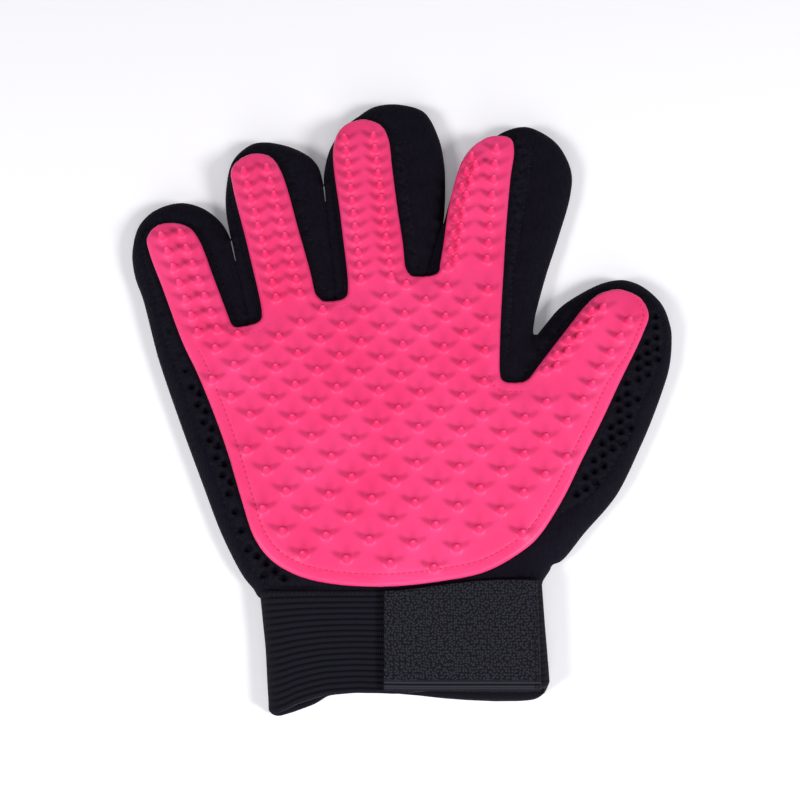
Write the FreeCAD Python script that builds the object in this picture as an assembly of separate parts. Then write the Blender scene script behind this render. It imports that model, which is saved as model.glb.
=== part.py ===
import FreeCAD
import Part
import math
import os

# Five-finger grooming glove, lying on its back with the silicone brush pad up.
# +X points to the thumb's side, +Y to the fingertips, +Z up. z = 0 is the underside of the back
# panels. The origin is the middle of the glove's box, at that height. Millimetres and degrees.

# ---- layers, from the table up ----
PANEL = 2.0          # air mesh panels, back and palm side
HAND_SPACE = 7.0     # hollow for the hand and the fingers
PAD = 2.0            # silicone pad
SPLIT = 0.4          # half of the gap at a knuckle, between the hand and a finger
GUSSET_WALL = 2.2    # side wall, measured across the glove
THUMB_SIDE_WALL = 3.0
FORK_WALL = (-1.6, -3.2)   # wall between index finger and thumb: its way inward, across the glove
TIP_MARGIN = 2.0     # front panel past the tip of its strip

Z_SPACE = PANEL
Z_FRONT = PANEL + HAND_SPACE
Z_PAD = Z_FRONT + PANEL
Z_TOP = Z_PAD + PAD

# ---- nubs and thread ----
NUB_BASE_R = 1.7
NUB_TIP_R = 0.9
NUB_HEIGHT = 5.0
NUB_SUNK = 0.4
KNUCKLE_CLEAR = 4.4  # no nub stands nearer than this to a finger's knuckle line
STRIP_CLEAR = 3.9    # nor nearer than this to the edge of a finger strip
THREAD = 0.6
THREAD_HIGH = 0.3
STITCH_IN = 1.5      # stitch line from the edge of a finger strip
PALM_STITCH_IN = 4.0

# ---- fingers ----
# root: middle of the strip at the knuckle. lean: from +Y towards the thumb.
# Each outline is two sides and a tip, in the finger's own axes: u across, towards the thumb,
# v along, from the knuckle. A side is (distance from the middle line, v), knuckle to shoulder.
# fabric: the widest outline, on the table. strip: the pad's strip. mesh: how far the front panel
# shows beside the strip, on the little finger's side and on the thumb's side.
FINGERS = {
    "little": {
        "root": (-70.8, 16.2), "lean": -21.8, "mesh": (3.0, 2.5), "flex": 65,
        "fabric": (((19.3, 0), (17.2, 26), (15.4, 45)), (3.5, 61.0), ((14.6, 0), (18.6, 22), (20.9, 40))),
        "strip": (((9.0, 0), (9.0, 24), (9.0, 41)), (-1.0, 49.3), ((9.0, 0), (9.0, 22), (9.6, 40))),
        "nubs": {"columns": (-2.4, 4.7), "first": 7.7, "pitch": 6.9, "rows": 6, "stagger": -1.4},
    },
    "ring": {
        "root": (-41.0, 27.5), "lean": -14.9, "mesh": (0.8, 2.5), "flex": 65,
        "fabric": (((15.3, 0), (13.5, 30), (11.7, 58)), (5.0, 75.0), ((16.0, 0), (20.2, 25), (24.3, 54))),
        "strip": (((10.1, 0), (9.8, 28), (9.2, 57)), (1.5, 65.8), ((10.8, 0), (10.4, 28), (10.2, 56))),
        "nubs": {"columns": (-3.6, 5.3), "first": 5.0, "pitch": 6.0, "rows": 9, "stagger": -0.8},
    },
    "middle": {
        "root": (-8.3, 37.7), "lean": -6.7, "mesh": (0.8, 2.5), "flex": 65,
        "fabric": (((16.0, 0), (14.8, 30), (13.8, 55)), (12.5, 80.2), ((16.0, 0), (27.8, 29), (31.4, 58))),
        "strip": (((11.0, 0), (10.9, 27), (10.7, 58)), (1.0, 69.2), ((11.3, 0), (11.4, 31), (11.0, 60))),
        "nubs": {"columns": (-6.0, 5.2), "first": 5.3, "pitch": 5.4, "rows": 11, "stagger": -0.4},
    },
    "index": {
        "root": (26.9, 40.0), "lean": 5.5, "mesh": (0.3, 2.5), "flex": 65,
        "fabric": (((15.6, 0), (11.4, 29), (8.6, 50)), (16.0, 70.4), ((26.5, 0), (31.9, 23), (36.2, 51))),
        "strip": (((11.7, 0), (10.7, 29), (7.6, 47)), (5.5, 60.5), ((11.8, 0), (11.6, 31), (12.4, 53))),
        "nubs": {"columns": (-4.6, 5.0), "first": 7.5, "pitch": 6.7, "rows": 7, "stagger": 3.3},
    },
    "thumb": {
        "root": (68.2, 5.0), "lean": 31.0, "mesh": (0.8, 9.0), "flex": 50,
        "fabric": (((20.0, 0), (21.0, 9), (19.2, 20)), (1.5, 41.8), ((29.8, 0), (28.2, 9), (23.8, 24.6))),
        "strip": (((13.6, 0), (12.5, 9), (10.3, 24)), (1.0, 33.6), ((14.4, 0), (13.6, 9), (12.0, 23))),
        "nubs": {"columns": (-5.5, 4.6), "first": 4.5, "pitch": 6.9, "rows": 3, "stagger": 3.4},
    },
}

# ---- hand ----
# Sides of the hand between the little finger's knuckle and the cuff, and between the cuff and the
# thumb's knuckle, at the table and at the front panel. The wrist edge is straight across.
WRIST_Y = -77.5
LITTLE_SIDE_LOW = [(-79.1, -16.3), (-70.4, -37.1), (-62.7, -56.9), (-54.7, -71.2), (-49.5, WRIST_Y)]
LITTLE_SIDE_TOP = [(-73.8, -14.5), (-65.2, -35.3), (-57.6, -54.8), (-50.8, -68.0), (-46.5, WRIST_Y)]
THUMB_SIDE_LOW = [(50.5, WRIST_Y), (56.5, -66.3), (65.4, -56.2), (77.9, -42.7), (88.3, -24.3)]
THUMB_SIDE_TOP = [(47.0, WRIST_Y), (51.8, -67.5), (60.0, -57.3), (71.0, -43.2), (81.0, -23.5)]
CROTCH_LOW = (50.2, 18.8)
CROTCH_TOP = (41.0, 2.0)
WEB_DEPTH = 2.6

# The pad's rim, from the little finger's knuckle round the heel of the hand to the thumb's.
PAD_RIM = [
    (-73.6, 1.8), (-67.3, -12.5), (-61.2, -28.2), (-55.1, -46.8), (-50.5, -59.3), (-45.0, -66.7),
    (-37.0, -71.9), (-26.9, -75.4), (-7.4, -77.1), (14.1, -74.7), (29.6, -71.2), (42.5, -64.9),
    (48.6, -60.0), (57.4, -46.8), (65.1, -31.9), (73.0, -16.7),
]
PAD_CROTCHES = {"little": [(-60.4, 19.4), (-50.9, 21.3)], "ring": [(-28.6, 29.6), (-19.8, 30.7)],
                "middle": [(4.2, 38.2), (13.8, 38.8)],
                "index": [(36.2, 2.0), (37.6, -1.8), (41.6, -2.6), (46.7, -0.7)]}

# Palm nubs stand in rows that run across the hand, every other row half a step over.
NUB_STEP = 14.95
NUB_ROW = 6.0
NUB_ROW_GROWTH = 0.075
NUB_ORIGIN = (-14.1, 0.9)
NUB_ROWS = range(-6, 11)
NUB_EDGE = 6.5       # nubs keep this far from the pad's rim

# ---- cuff ----
CUFF_TOP_Y = -77.8
CUFF_END_Y = -118.8
CUFF_WRIST = (-48.1, 49.4)       # left and right edges where it joins the hand
CUFF_MOUTH = (-43.7, 50.9)
CUFF_HIGH = 10.5
ELASTIC = 1.6
MOUTH_EDGE = [(-60.0, -119.6), (-43.7, -118.8), (-37.5, -117.4), (-27.0, -113.0), (0.0, -112.4),
              (60.0, -113.8)]
SLIT = (36.0, 39.5)              # gap between the band's two ends, on the palm side
SEAM_WIDE = 1.5

# ---- hook tape tab ----
TAB_LEFT = -5.3
TAB_RIGHT = 43.7
TAB_END = 47.2
TAB_Y = (-111.5, -79.6)
LOOP = 0.7
TAB_GAP = 0.3
HOOKS = 0.6
TAPE = 1.0
LOOP_X = (-4.0, 34.5)


def to_glove(finger, u, v):
    """A point of a finger's own axes, in the glove's."""
    lean = math.radians(finger["lean"])
    x, y = finger["root"]
    return (x + u * math.cos(lean) + v * math.sin(lean), y - u * math.sin(lean) + v * math.cos(lean))


def polygon(points, z):
    vectors = [FreeCAD.Vector(x, y, z) for x, y in points]
    return Part.makePolygon(vectors + vectors[:1])


def plate(wire, thickness):
    return Part.Face(wire).extrude(FreeCAD.Vector(0, 0, thickness))


def loft(low, high):
    return Part.makeLoft([low, high], True, True)


def finger_wire(finger, outline, z, inset=0.0, start=SPLIT):
    """Closed outline of a finger at one height: side, rounded tip, side, knuckle."""
    left, tip, right = outline
    side_l = [(-(w - inset), max(v, start) if v == 0 else v) for w, v in left]
    side_r = [(w - inset, max(v, start) if v == 0 else v) for w, v in right]
    if start < 0:
        side_l[0] = (side_l[0][0], start)
        side_r[0] = (side_r[0][0], start)
    spots = side_l + [(tip[0], tip[1] - inset)] + side_r[::-1]
    points = [FreeCAD.Vector(*to_glove(finger, u, v), z) for u, v in spots]
    edges = [
        Part.LineSegment(points[0], points[1]), Part.LineSegment(points[1], points[2]),
        Part.Arc(points[2], points[3], points[4]),
        Part.LineSegment(points[4], points[5]), Part.LineSegment(points[5], points[6]),
        Part.LineSegment(points[6], points[0]),
    ]
    return Part.Wire([edge.toShape() for edge in edges])


def front_outline(finger):
    """Front panel: the strip with the margin of mesh that shows round it."""
    left, tip, right = finger["strip"]
    low, high = finger["mesh"]
    return ([(w + low, v) for w, v in left], (tip[0], tip[1] + TIP_MARGIN),
            [(w + high, v) for w, v in right])


def nub(x, y):
    base = FreeCAD.Vector(x, y, Z_TOP - NUB_SUNK)
    return Part.makeCone(NUB_BASE_R, NUB_TIP_R, NUB_HEIGHT + NUB_SUNK, base)


def finger_nubs(finger):
    """Two columns of nubs, as far as they stand clear of the strip's edge."""
    rule = finger["nubs"]
    edge = finger_wire(finger, finger["strip"], Z_TOP)
    for side, u in enumerate(rule["columns"]):
        for row in range(rule["rows"]):
            v = rule["first"] + row * rule["pitch"] + side * rule["stagger"]
            x, y = to_glove(finger, u, max(v, KNUCKLE_CLEAR))
            if edge.distToShape(Part.Vertex(x, y, Z_TOP))[0] > STRIP_CLEAR:
                yield nub(x, y)


def gusset(finger):
    front = front_outline(finger)
    outer = loft(finger_wire(finger, finger["fabric"], Z_SPACE), finger_wire(finger, front, Z_FRONT))
    inner = loft(
        finger_wire(finger, finger["fabric"], Z_SPACE, GUSSET_WALL, -1.0),
        finger_wire(finger, front, Z_FRONT, GUSSET_WALL, -1.0),
    )
    return outer.cut(inner)


def strip_thread(finger):
    outer = plate(finger_wire(finger, finger["strip"], Z_TOP, STITCH_IN), THREAD_HIGH)
    inner = plate(finger_wire(finger, finger["strip"], Z_TOP, STITCH_IN + THREAD, -1.0), THREAD_HIGH)
    return outer.cut(inner)


def make_finger(finger, name):
    front = front_outline(finger)
    strip = plate(finger_wire(finger, finger["strip"], Z_PAD), PAD)
    return {
        "back_panel_" + name: plate(finger_wire(finger, finger["fabric"], 0.0), PANEL),
        "gusset_" + name: gusset(finger),
        "front_panel_" + name: plate(finger_wire(finger, front, Z_FRONT), PANEL),
        "brush_strip_" + name: strip.multiFuse(list(finger_nubs(finger))),
        "strip_thread_" + name: strip_thread(finger),
    }


def knuckle(name, outline):
    """The hand's end of a finger's knuckle line: little finger's side, then thumb's side."""
    finger = FINGERS[name]
    left, tip, right = outline(finger)
    return [to_glove(finger, -left[0][0], -SPLIT), to_glove(finger, right[0][0], -SPLIT)]


def fabric(finger):
    return finger["fabric"]


def strip(finger):
    return finger["strip"]


def hand_outline(outline, little_side, thumb_side, crotch):
    points = knuckle("little", outline)[:1] + little_side + thumb_side
    points += knuckle("thumb", outline)[::-1] + [crotch]
    for name in ("index", "middle", "ring"):
        points += knuckle(name, outline)[::-1]
    return points + knuckle("little", outline)[1:]


def wall(low, top, inward):
    """Sloping side wall over the hand space; inward is the way its thickness is measured."""
    def ring(points, z):
        return polygon(points + [(x + inward[0], y + inward[1]) for x, y in reversed(points)], z)
    return loft(ring(low, Z_SPACE), ring(top, Z_FRONT))


def web(left_name, right_name):
    """Bottom of the fork between two fingers."""
    low = [knuckle(left_name, fabric)[1], knuckle(right_name, fabric)[0]]
    top = [knuckle(left_name, front_outline)[1], knuckle(right_name, front_outline)[0]]
    lean = math.radians((FINGERS[left_name]["lean"] + FINGERS[right_name]["lean"]) / 2)
    return wall(low, top, (-WEB_DEPTH * math.sin(lean), -WEB_DEPTH * math.cos(lean)))


def pad_wire(z):
    """Outline of the palm pad: knuckle lines and crotches straight, rim a smooth curve."""
    little = knuckle("little", strip)
    thumb = knuckle("thumb", strip)
    rim = [FreeCAD.Vector(x, y, z) for x, y in little[:1] + PAD_RIM + thumb[1:]]
    curve = Part.BSplineCurve()
    curve.interpolate(rim)
    points = [thumb[1], thumb[0]] + PAD_CROTCHES["index"][::-1]
    for name, crotch in (("index", "middle"), ("middle", "ring"), ("ring", "little")):
        points += knuckle(name, strip)[::-1] + PAD_CROTCHES[crotch][::-1]
    points += little[::-1]
    vectors = [FreeCAD.Vector(x, y, z) for x, y in points]
    edges = [Part.LineSegment(a, b).toShape() for a, b in zip(vectors, vectors[1:])]
    return Part.Wire([curve.toShape()] + edges)


def palm_nubs(outline):
    """Every nub of the palm's rows that stands clear of the pad's edge."""
    face = Part.Face(outline)
    for row in NUB_ROWS:
        half = 0.5 if row % 2 else 0.0
        for column in range(-5, 7):
            step = column + half
            x = NUB_ORIGIN[0] - 0.36 * row + NUB_STEP * step
            y = NUB_ORIGIN[1] - NUB_ROW * row - NUB_ROW_GROWTH * max(row, 0) ** 2
            y -= (1.05 + 0.05 * max(row, 0)) * step
            spot = FreeCAD.Vector(x, y, Z_TOP)
            if not face.isInside(spot, 0.01, True):
                continue
            from_edge = outline.distToShape(Part.Vertex(spot))[0]
            from_rim = outline.Edges[0].distToShape(Part.Vertex(spot))[0]
            if from_edge > KNUCKLE_CLEAR and from_rim > NUB_EDGE:
                yield nub(x, y)


def palm_thread(outline):
    """Stitch line inside the rim, as a flat ribbon."""
    curve = outline.Edges[0].Curve
    first, last = curve.FirstParameter, curve.LastParameter
    near, far = [], []
    count = 36
    for i in range(1, count):
        at = first + (last - first) * i / count
        point = curve.value(at)
        along = curve.tangent(at)[0]
        inward = FreeCAD.Vector(-along.y, along.x, 0)
        near.append(point + inward * PALM_STITCH_IN)
        far.append(point + inward * (PALM_STITCH_IN + THREAD))
    ring = near + far[::-1]
    return plate(Part.makePolygon(ring + ring[:1]), THREAD_HIGH)


def band_section(y, edges, inset):
    """Flattened tube of elastic, cut across: two flats joined by half rounds."""
    left, right = edges[0] + inset, edges[1] - inset
    low, high = inset, CUFF_HIGH - inset
    r = (high - low) / 2
    mid = (high + low) / 2

    def at(x, z):
        return FreeCAD.Vector(x, y, z)

    edges = [
        Part.LineSegment(at(left + r, high), at(right - r, high)),
        Part.Arc(at(right - r, high), at(right, mid), at(right - r, low)),
        Part.LineSegment(at(right - r, low), at(left + r, low)),
        Part.Arc(at(left + r, low), at(left, mid), at(left + r, high)),
    ]
    return Part.Wire([edge.toShape() for edge in edges])


def box(x, y, z):
    return Part.makeBox(x[1] - x[0], y[1] - y[0], z[1] - z[0], FreeCAD.Vector(x[0], y[0], z[0]))


def make_cuff():
    outer = loft(band_section(CUFF_TOP_Y, CUFF_WRIST, 0.0), band_section(CUFF_END_Y - 1, CUFF_MOUTH, 0.0))
    inner = loft(
        band_section(CUFF_TOP_Y + 1, CUFF_WRIST, ELASTIC),
        band_section(CUFF_END_Y - 2, CUFF_MOUTH, ELASTIC),
    )
    below = plate(polygon(MOUTH_EDGE + [(60.0, -130.0), (-60.0, -130.0)], -1.0), CUFF_HIGH + 2)
    band = outer.cut(inner).cut(below)
    slit = box(SLIT, (CUFF_END_Y - 5, CUFF_TOP_Y + 5), (CUFF_HIGH / 2, CUFF_HIGH + 1))
    seam = loft(
        band_section(CUFF_TOP_Y, CUFF_WRIST, -THREAD_HIGH),
        band_section(CUFF_TOP_Y - SEAM_WIDE, CUFF_WRIST, -THREAD_HIGH),
    )
    top_half = box((-60, 60), (CUFF_TOP_Y - 5, CUFF_TOP_Y), (CUFF_HIGH / 2, CUFF_HIGH + 1))
    return band.cut(slit), seam.cut(outer).common(top_half)


def make_tab():
    """Loop patch on the band, and the tape that closes on it, sewn down past its fold."""
    z_loop = CUFF_HIGH
    z_hooks = z_loop + LOOP + TAB_GAP
    z_tape = z_hooks + HOOKS
    z_top = z_tape + TAPE
    parts = {
        "loop_patch": box(LOOP_X, TAB_Y, (z_loop, z_loop + LOOP)),
        "hook_field": box((LOOP_X[0], LOOP_X[1]), (TAB_Y[0] + 2, TAB_Y[1] - 2), (z_hooks, z_tape)),
        "hook_tab": box((TAB_LEFT, TAB_RIGHT), TAB_Y, (z_tape, z_top)),
        "tab_sewn_end": box((TAB_RIGHT + 2 * SPLIT, TAB_END), TAB_Y, (CUFF_HIGH, z_top)),
    }
    rows = [box((x, x + THREAD), TAB_Y, (z_top, z_top + THREAD_HIGH))
            for x in (TAB_RIGHT + 1.3, TAB_RIGHT + 2.5)]
    parts["tab_thread"] = rows[0].fuse(rows[1])
    return parts


def make_hand():
    low = hand_outline(fabric, LITTLE_SIDE_LOW, THUMB_SIDE_LOW, CROTCH_LOW)
    top = hand_outline(front_outline, LITTLE_SIDE_TOP, THUMB_SIDE_TOP, CROTCH_TOP)
    outline = pad_wire(Z_PAD)
    pad = plate(outline, PAD)
    raised = outline.translated(FreeCAD.Vector(0, 0, PAD))
    little_side = (GUSSET_WALL, 0.0)
    thumb_side = (-THUMB_SIDE_WALL, 0.0)
    knuckles = {name: (knuckle(name, fabric), knuckle(name, front_outline)) for name in FINGERS}
    little_low, little_top = [pair[:1] for pair in knuckles["little"]]
    thumb_low, thumb_top = knuckles["thumb"]
    index_low, index_top = knuckles["index"]
    band, seam = make_cuff()
    parts = {
        "back_panel_hand": plate(polygon(low, 0.0), PANEL),
        "palm_panel": plate(polygon(top, Z_FRONT), PANEL),
        "brush_pad_palm": pad.multiFuse(list(palm_nubs(raised))),
        "pad_thread_palm": palm_thread(raised),
        "side_wall_little": wall(little_low + LITTLE_SIDE_LOW, little_top + LITTLE_SIDE_TOP, little_side),
        "side_wall_thumb": wall(THUMB_SIDE_LOW + thumb_low[1:], THUMB_SIDE_TOP + thumb_top[1:], thumb_side),
        "side_wall_index": wall(
            [index_low[1], CROTCH_LOW, thumb_low[0]], [index_top[1], CROTCH_TOP, thumb_top[0]], FORK_WALL),
        "web_little_ring": web("little", "ring"),
        "web_ring_middle": web("ring", "middle"),
        "web_middle_index": web("middle", "index"),
        "cuff_band": band,
        "cuff_seam_thread": seam,
    }
    parts.update(make_tab())
    return parts


def main():
    os.makedirs("parts", exist_ok=True)
    parts = make_hand()
    for name, finger in FINGERS.items():
        parts.update(make_finger(finger, name))
    size = FreeCAD.BoundBox()
    for name, shape in parts.items():
        shape.exportStep("parts/" + name + ".step")
        size.add(shape.BoundBox)
        print(name, "valid", shape.isValid(), "solids", len(shape.Solids), "volume", round(shape.Volume, 1))
    print("box", size)


main()
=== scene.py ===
import math

import bpy
import numpy as np
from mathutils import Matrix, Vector, kdtree
from mathutils.geometry import delaunay_2d_cdt


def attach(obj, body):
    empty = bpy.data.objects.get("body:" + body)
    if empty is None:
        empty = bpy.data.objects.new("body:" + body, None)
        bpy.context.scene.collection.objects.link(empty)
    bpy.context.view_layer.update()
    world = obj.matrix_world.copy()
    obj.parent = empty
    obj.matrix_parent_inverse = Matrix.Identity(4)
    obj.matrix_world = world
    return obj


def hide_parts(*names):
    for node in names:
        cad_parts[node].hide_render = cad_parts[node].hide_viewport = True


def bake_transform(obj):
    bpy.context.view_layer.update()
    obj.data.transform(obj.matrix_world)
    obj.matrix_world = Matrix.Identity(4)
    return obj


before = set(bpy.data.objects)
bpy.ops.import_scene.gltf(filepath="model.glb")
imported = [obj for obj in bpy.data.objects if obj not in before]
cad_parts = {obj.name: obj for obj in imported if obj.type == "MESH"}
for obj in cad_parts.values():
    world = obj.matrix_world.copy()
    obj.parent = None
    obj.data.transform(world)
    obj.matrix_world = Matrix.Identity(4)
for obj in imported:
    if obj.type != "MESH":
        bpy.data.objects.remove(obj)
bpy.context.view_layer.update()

# ---- Camera, table and lights ----
# The glove lies on a white table, seen from above the cuff. A lamp stands at each side, towards the
# cuff, with a broad weak one between them, and a white room fills in the rest. In metres.
LOOK_AT = Vector((0.0001, -0.0069, 0.006))
CAMERA_FAR = 0.462
CAMERA_UP = math.radians(71)

scene = bpy.context.scene
scene.view_settings.view_transform = "Standard"
camera_data = bpy.data.cameras.new("camera")
camera_data.lens = 57
camera_data.sensor_width = 36
camera = bpy.data.objects.new("camera", camera_data)
camera.location = LOOK_AT + CAMERA_FAR * Vector((0, -math.cos(CAMERA_UP), math.sin(CAMERA_UP)))
camera.rotation_euler = (math.pi / 2 - CAMERA_UP, 0, 0)
scene.collection.objects.link(camera)
scene.camera = camera

room = bpy.data.worlds.new("white_room")
room.use_nodes = True
room.node_tree.nodes["Background"].inputs["Color"].default_value = (0.93, 0.94, 1.0, 1)
room.node_tree.nodes["Background"].inputs["Strength"].default_value = 0.17
scene.world = room


def soft_lamp(name, place, watts, wide):
    lamp = bpy.data.lights.new(name, "AREA")
    lamp.energy = watts
    lamp.size = wide
    holder = bpy.data.objects.new(name, lamp)
    holder.location = place
    holder.rotation_euler = (-Vector(place)).to_track_quat("-Z", "Y").to_euler()
    scene.collection.objects.link(holder)


soft_lamp("right_lamp", (0.78, -0.46, 0.82), 8.8, 0.3)
soft_lamp("left_lamp", (-0.78, -0.46, 0.82), 6.8, 0.3)
soft_lamp("front_lamp", (0.0, -1.0, 0.62), 3.9, 0.6)


def make_material(name, finish):
    """A material with these values set on its shader."""
    material = bpy.data.materials.new(name)
    material.use_nodes = True
    for socket, value in finish.items():
        material.node_tree.nodes["Principled BSDF"].inputs[socket].default_value = value
    return material


table_white = make_material("table_white", {
    "Base Color": (0.95, 0.94, 0.97, 1), "Emission Color": (0.95, 0.93, 1.0, 1), "Emission Strength": 0.16,
    "Roughness": 0.9})
bpy.ops.mesh.primitive_plane_add(size=6, location=(0, 0, -0.0003))
table = bpy.context.object
table.name = "table"
table.data.materials.append(table_white)

# ---- Silicone brush pad ----
# One pink silicone moulding: a palm and five finger strips with a rounded rim, sewn to the glove.
# Tapered pins stand on it in staggered rows, each on a wide fillet. It is cut into pieces at the knuckles,
# where the real glove bends.
# Lengths from here on are millimetres in the glove's own frame, until a mesh is made.
PAD_LOW = 11.0
PAD_TOP = 13.0
RIM_ROUND = 1.3
CROWN = 0.9          # how far the pad's middle stands above its rim
CROWN_REACH = 6.0
# A pin's height against the distance from its axis, from the rounded tip to the end of the fillet,
# and the rings of mesh points that carry it: distance and number of points.
PIN_SHAPE = ((0, 5.0), (0.4, 4.95), (0.7, 4.74), (0.88, 4.3), (0.96, 3.6), (1.04, 2.7), (1.15, 1.85),
             (1.3, 1.15), (1.52, 0.68), (1.88, 0.37), (2.35, 0.19), (3.0, 0.08), (3.9, 0.02), (4.9, 0))
PIN_RINGS = ((0.4, 7), (0.8, 11), (1.0, 12), (1.25, 13), (1.55, 14), (1.95, 16), (2.5, 17), (3.3, 18))
STITCH_PALM = 4.0    # stitch line, in from the rim
STITCH_STRIP = 2.0

# Each finger lies along its own line: root at the knuckle, lean from straight up the glove towards
# the thumb, in degrees. Outlines run up the little finger's side, over the tip and down the thumb's
# side, as (across, along). fork is where the pad's outline goes on to the next finger.
FINGERS = {
    "little": {
        "body": "little_finger", "root": (-70.8, 16.2), "lean": -21.8, "crease": 1.5,
        "strip": [(-9, 0), (-9, 24), (-9, 40), (-8, 45.3), (-3.6, 48.8), (2.8, 47.9), (8.1, 43.8),
                  (9.9, 38), (10.0, 20), (9.9, 4)],
        "fork": [(-61.9, 20.7), (-60.4, 19.4), (-52.5, 21.0), (-51.0, 22.4)],
        "pins": {"across": (-2.4, 4.7), "first": 1.0, "pitch": 6.95, "rows": 7, "stagger": -1.4},
    },
    "ring": {
        "body": "ring_finger", "root": (-41.0, 27.5), "lean": -14.9, "crease": 1.5,
        "strip": [(-10.1, 0), (-9.3, 26), (-9.2, 54), (-8.3, 60.8), (-4.8, 64.3), (1.9, 65.7), (7.5, 62.8),
                  (10.0, 56), (10.8, 28), (11.0, 11), (10.8, 2.5)],
        "fork": [(-29.8, 30.9), (-28.3, 29.7), (-21.2, 30.4), (-19.6, 32.0)],
        "pins": {"across": (-3.6, 5.3), "first": 3.5, "pitch": 6.0, "rows": 10, "stagger": -0.8},
    },
    "middle": {
        "body": "middle_finger", "root": (-8.3, 37.7), "lean": -6.7, "crease": 1.5,
        "strip": [(-11, 0), (-10.9, 27), (-10.7, 57.5), (-7.3, 65.6), (-2.8, 68.4), (2.8, 68.9), (8.4, 66),
                  (10.8, 60), (10.9, 46), (10.9, 31), (11.2, 14), (11.1, 4)],
        "fork": [(3.4, 40.9), (4.9, 39.8), (12.9, 40.3), (14.7, 41.8)],
        "pins": {"across": (-6.0, 5.2), "first": 0.4, "pitch": 5.4, "rows": 12, "stagger": -0.4},
    },
    "index": {
        "body": "index_finger", "root": (26.9, 40.0), "lean": 5.5, "crease": 1.5,
        "strip": [(-12.2, 3.5), (-11.7, 11), (-10.8, 29.5), (-7.6, 47.5), (-4.2, 54), (0.5, 58.4),
                  (6.1, 60.2), (10.4, 59.3), (12.0, 55), (11.5, 42), (11.3, 22), (11.6, 0)],
        "fork": [(38.2, 36), (36.9, 18), (36.3, 1.5), (36.8, -1.0), (38.2, -2.1), (44.6, -2.0),
                 (46.4, -1.0)],
        "pins": {"across": (-6.2, 5.0), "first": 2.5, "pitch": 6.7, "rows": 8, "stagger": 3.3,
                 "hug": (1.5, 49)},
    },
    "thumb": {
        "body": "thumb", "root": (68.2, 5.0), "lean": 31.0, "crease": 3.0,
        "strip": [(-14.6, -8), (-13.4, 3.1), (-10.7, 23), (-8, 28.4), (-3.2, 32.3), (4.6, 32.9),
                  (10.2, 28.6), (11.8, 21.2), (13.5, -1.6), (14.7, -16.2)],
        "fork": [],
        "pins": {"across": (-7.0, 5.3), "first": -12.0, "pitch": 7.15, "rows": 6, "stagger": -2.4,
                 "hug": (-11, 24.5)},
    },
}
HEEL = [(64.5, -31.5), (56.8, -46.3), (48.0, -59.3), (42.1, -64.4), (29.7, -71.3), (14.1, -74.7),
        (-7.4, -76.6), (-26.8, -75.0), (-37.0, -71.9), (-45.0, -66.7), (-50.5, -59.3), (-55.1, -46.8),
        (-61.2, -28.2), (-67.3, -12.5), (-73.6, 1.8)]
PIN_STEP = 14.95
PIN_ROW = 6.0
PIN_EDGE = 3.8       # pins keep this far from the rim
PIN_APART = 4.5      # palm pins keep this far from the fingers' columns
HUG_INSET = (2.9, 5.5)       # from the rim to the zigzag's outer and inner pins
HUG_APART = 4.2      # and how far the zigzag keeps from the other columns
PALM_FIRST = (-14.6, 0.2)    # where the palm's rows are counted from
PALM_END = (-17, -17.5)      # the palm's rows stop here on the thumb: across, along


def to_glove(finger, across, along):
    lean = math.radians(finger["lean"])
    x, y = finger["root"]
    return (x + across * math.cos(lean) + along * math.sin(lean),
            y - across * math.sin(lean) + along * math.cos(lean))


def to_finger(finger, points):
    lean = math.radians(finger["lean"])
    x, y = (points - np.array(finger["root"])).T
    return np.stack([x * math.cos(lean) - y * math.sin(lean), x * math.sin(lean) + y * math.cos(lean)], 1)


def curve_through(points, closed, finest=0.25):
    """Close points along a smooth curve through the given ones."""
    p = np.array(points, float)
    spans = len(p) if closed else len(p) - 1
    before, after = (p[-1:], p[:2]) if closed else (2 * p[:1] - p[1:2], 2 * p[-1:] - p[-2:-1])
    run = np.vstack([before, p, after])
    line = []
    for a, b, c, d in (run[i:i + 4] for i in range(spans)):
        ab, bc, cd = (math.sqrt(np.linalg.norm(r - q)) for q, r in ((a, b), (b, c), (c, d)))
        leave = bc * ((b - a) / ab - (c - a) / (ab + bc) + (c - b) / bc)
        reach = bc * ((c - b) / bc - (d - b) / (bc + cd) + (d - c) / cd)
        t = np.linspace(0, 1, max(2, int(bc * bc / finest)), endpoint=False)[:, None]
        line.append(b * (2 * t ** 3 - 3 * t ** 2 + 1) + leave * (t ** 3 - 2 * t ** 2 + t)
                    + c * (3 * t ** 2 - 2 * t ** 3) + reach * (t ** 3 - t ** 2))
    return np.vstack(line if closed else line + [p[-1:]])


def evenly(line, step, closed):
    """The same line with its points a step apart."""
    if closed:
        line = np.vstack([line, line[:1]])
    far = np.r_[0, np.cumsum(np.linalg.norm(np.diff(line, axis=0), axis=1))]
    spots = np.linspace(0, far[-1], max(3, round(far[-1] / step)) + 1)
    if closed:
        spots = spots[:-1]
    return np.stack([np.interp(spots, far, column) for column in line.T], 1)


def inward(line):
    """Sideways directions along a closed line, into the area that it runs clockwise round."""
    ahead = np.roll(line, -1, axis=0) - np.roll(line, 1, axis=0)
    ahead /= np.linalg.norm(ahead, axis=1)[:, None]
    return np.stack([ahead[:, 1], -ahead[:, 0]], 1)


def nearest(points, line):
    """For each point, its distance to a line of close points, and the number of the nearest one."""
    tree = kdtree.KDTree(len(line))
    for number, (x, y) in enumerate(line):
        tree.insert((x, y, 0), number)
    tree.balance()
    found = [tree.find((x, y, 0)) for x, y in points]
    return np.array([f[2] for f in found]), np.array([f[1] for f in found])


def within(points, outline):
    """Which points lie inside a closed outline."""
    x, y = points.T
    inside = np.zeros(len(points), bool)
    for (ax, ay), (bx, by) in zip(outline, np.roll(outline, -1, axis=0)):
        if ay != by:
            inside ^= ((ay > y) != (by > y)) & (x < (bx - ax) * (y - ay) / (by - ay) + ax)
    return inside


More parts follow.
